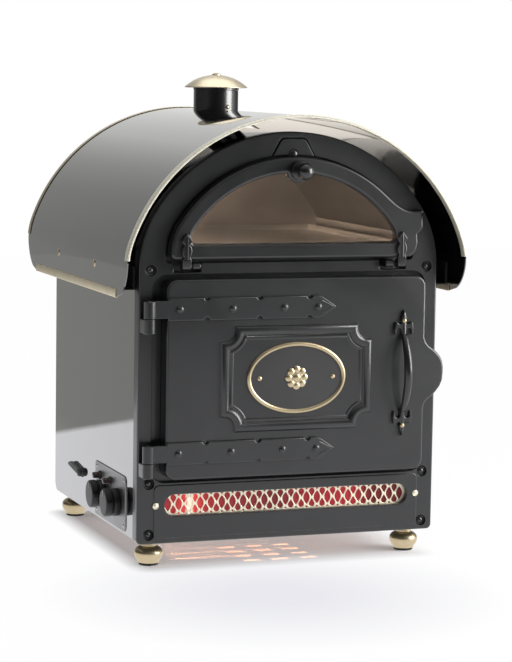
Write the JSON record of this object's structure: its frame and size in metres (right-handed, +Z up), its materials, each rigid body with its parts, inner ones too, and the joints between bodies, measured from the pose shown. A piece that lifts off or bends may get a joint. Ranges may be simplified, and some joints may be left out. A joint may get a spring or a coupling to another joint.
{
  "type": "baked potato oven",
  "caption": "Tabletop oven with a cast front: hinged oven door below, arched glazed flap above, barrel canopy, chimney, ball feet and a glowing fretted grille.",
  "frame": {"origin": "under the middle of the whole oven, on the surface that the feet stand on", "axes": "+Z up, -Y out of the front with the doors, +X to the right seen from the front"},
  "size_m": [0.4984, 0.5352, 0.6775],
  "materials": {
    "cast_black": "satin",
    "enamel_black": "gloss",
    "brass": "satin",
    "stainless": "brushed",
    "bright_wire": "bright",
    "dark_steel": "matte",
    "knob_black": "gloss",
    "body_plastic": "matte",
    "pad_rubber": "matte",
    "red_glass": "polished",
    "clear_glass": "polished",
    "lamp_glass": "frosted",
    "pilot_glass": "polished",
    "ceramic": "matte",
    "wool": "matte",
    "seal_cord": "matte",
    "pin_steel": "satin",
    "element_steel": "dark"
  },
  "bodies": {
    "cabinet": {"front_casting": "cast_black", "casting_bolts": "dark_steel", "left_side_panel": "enamel_black", "right_side_panel": "enamel_black", "inner_hood": "enamel_black", "back_panel": "enamel_black", "base_plate": "dark_steel", "feet": "brass", "foot_pads": "pad_rubber", "canopy": "enamel_black", "canopy_front_trim": "brass", "canopy_rear_trim": "brass", "canopy_eave_trims": "brass", "canopy_rails": "dark_steel", "canopy_screws": "brass", "chimney_pipe": "enamel_black", "chimney_cap": "brass", "chimney_screws": "brass", "fret_grille": "brass", "fret_screws": "brass", "red_lens": "red_glass", "glow_lamp": "lamp_glass", "glow_lamp_holder": "ceramic", "oven_liner": "stainless", "oven_insulation": "wool", "rack_runners": "stainless", "lower_rack": "bright_wire", "middle_rack": "bright_wire", "upper_rack": "bright_wire", "fan_baffle": "stainless", "fan_motor": "stainless", "ring_element": "element_steel", "display_liner": "stainless", "display_tray": "stainless", "display_lamp": "lamp_glass", "lamp_holders": "ceramic", "control_plate": "dark_steel", "thermostat_body": "body_plastic", "timer_body": "body_plastic", "pilot_lamps": "pilot_glass", "cable_elbow": "body_plastic", "door_hinge_pins": "pin_steel", "flap_hinge_pins": "pin_steel", "door_magnet": "dark_steel"},
    "door": {"oven_door": "cast_black", "door_lining": "stainless", "door_seal": "seal_cord", "upper_strap": "cast_black", "lower_strap": "cast_black", "badge_ring": "brass", "badge_rosette": "brass", "pull_handle": "cast_black", "handle_screws": "brass"},
    "flap": {"display_flap": "cast_black", "flap_glass": "clear_glass", "flap_straps": "cast_black", "flap_knob": "cast_black"},
    "thermostat": {"thermostat_knob": "knob_black"},
    "timer": {"timer_knob": "knob_black"},
    "fan": {"fan_wheel": "stainless"}
  },
  "joints": [
    {"name": "door_hinge", "type": "hinge", "parent": "cabinet", "child": "door", "pos_m": [-0.2105, -0.2381, 0.262], "axis": [0, 0, 1], "range_deg": [-120, 0]},
    {"name": "flap_hinge", "type": "hinge", "parent": "cabinet", "child": "flap", "pos_m": [0, -0.2271, 0.4167], "axis": [1, 0, 0], "range_deg": [0, 90]},
    {"name": "thermostat_turn", "type": "hinge", "parent": "cabinet", "child": "thermostat", "pos_m": [-0.22, -0.1261, 0.078], "axis": [-1, 0, 0], "range_deg": [-270, 0]},
    {"name": "timer_turn", "type": "hinge", "parent": "cabinet", "child": "timer", "pos_m": [-0.22, -0.0551, 0.078], "axis": [-1, 0, 0], "range_deg": [-300, 0]},
    {"name": "fan_spin", "type": "hinge", "parent": "cabinet", "child": "fan", "pos_m": [0.00575, 0.1209, 0.26215], "axis": [0, -1, 0], "continuous": true}
  ]
}
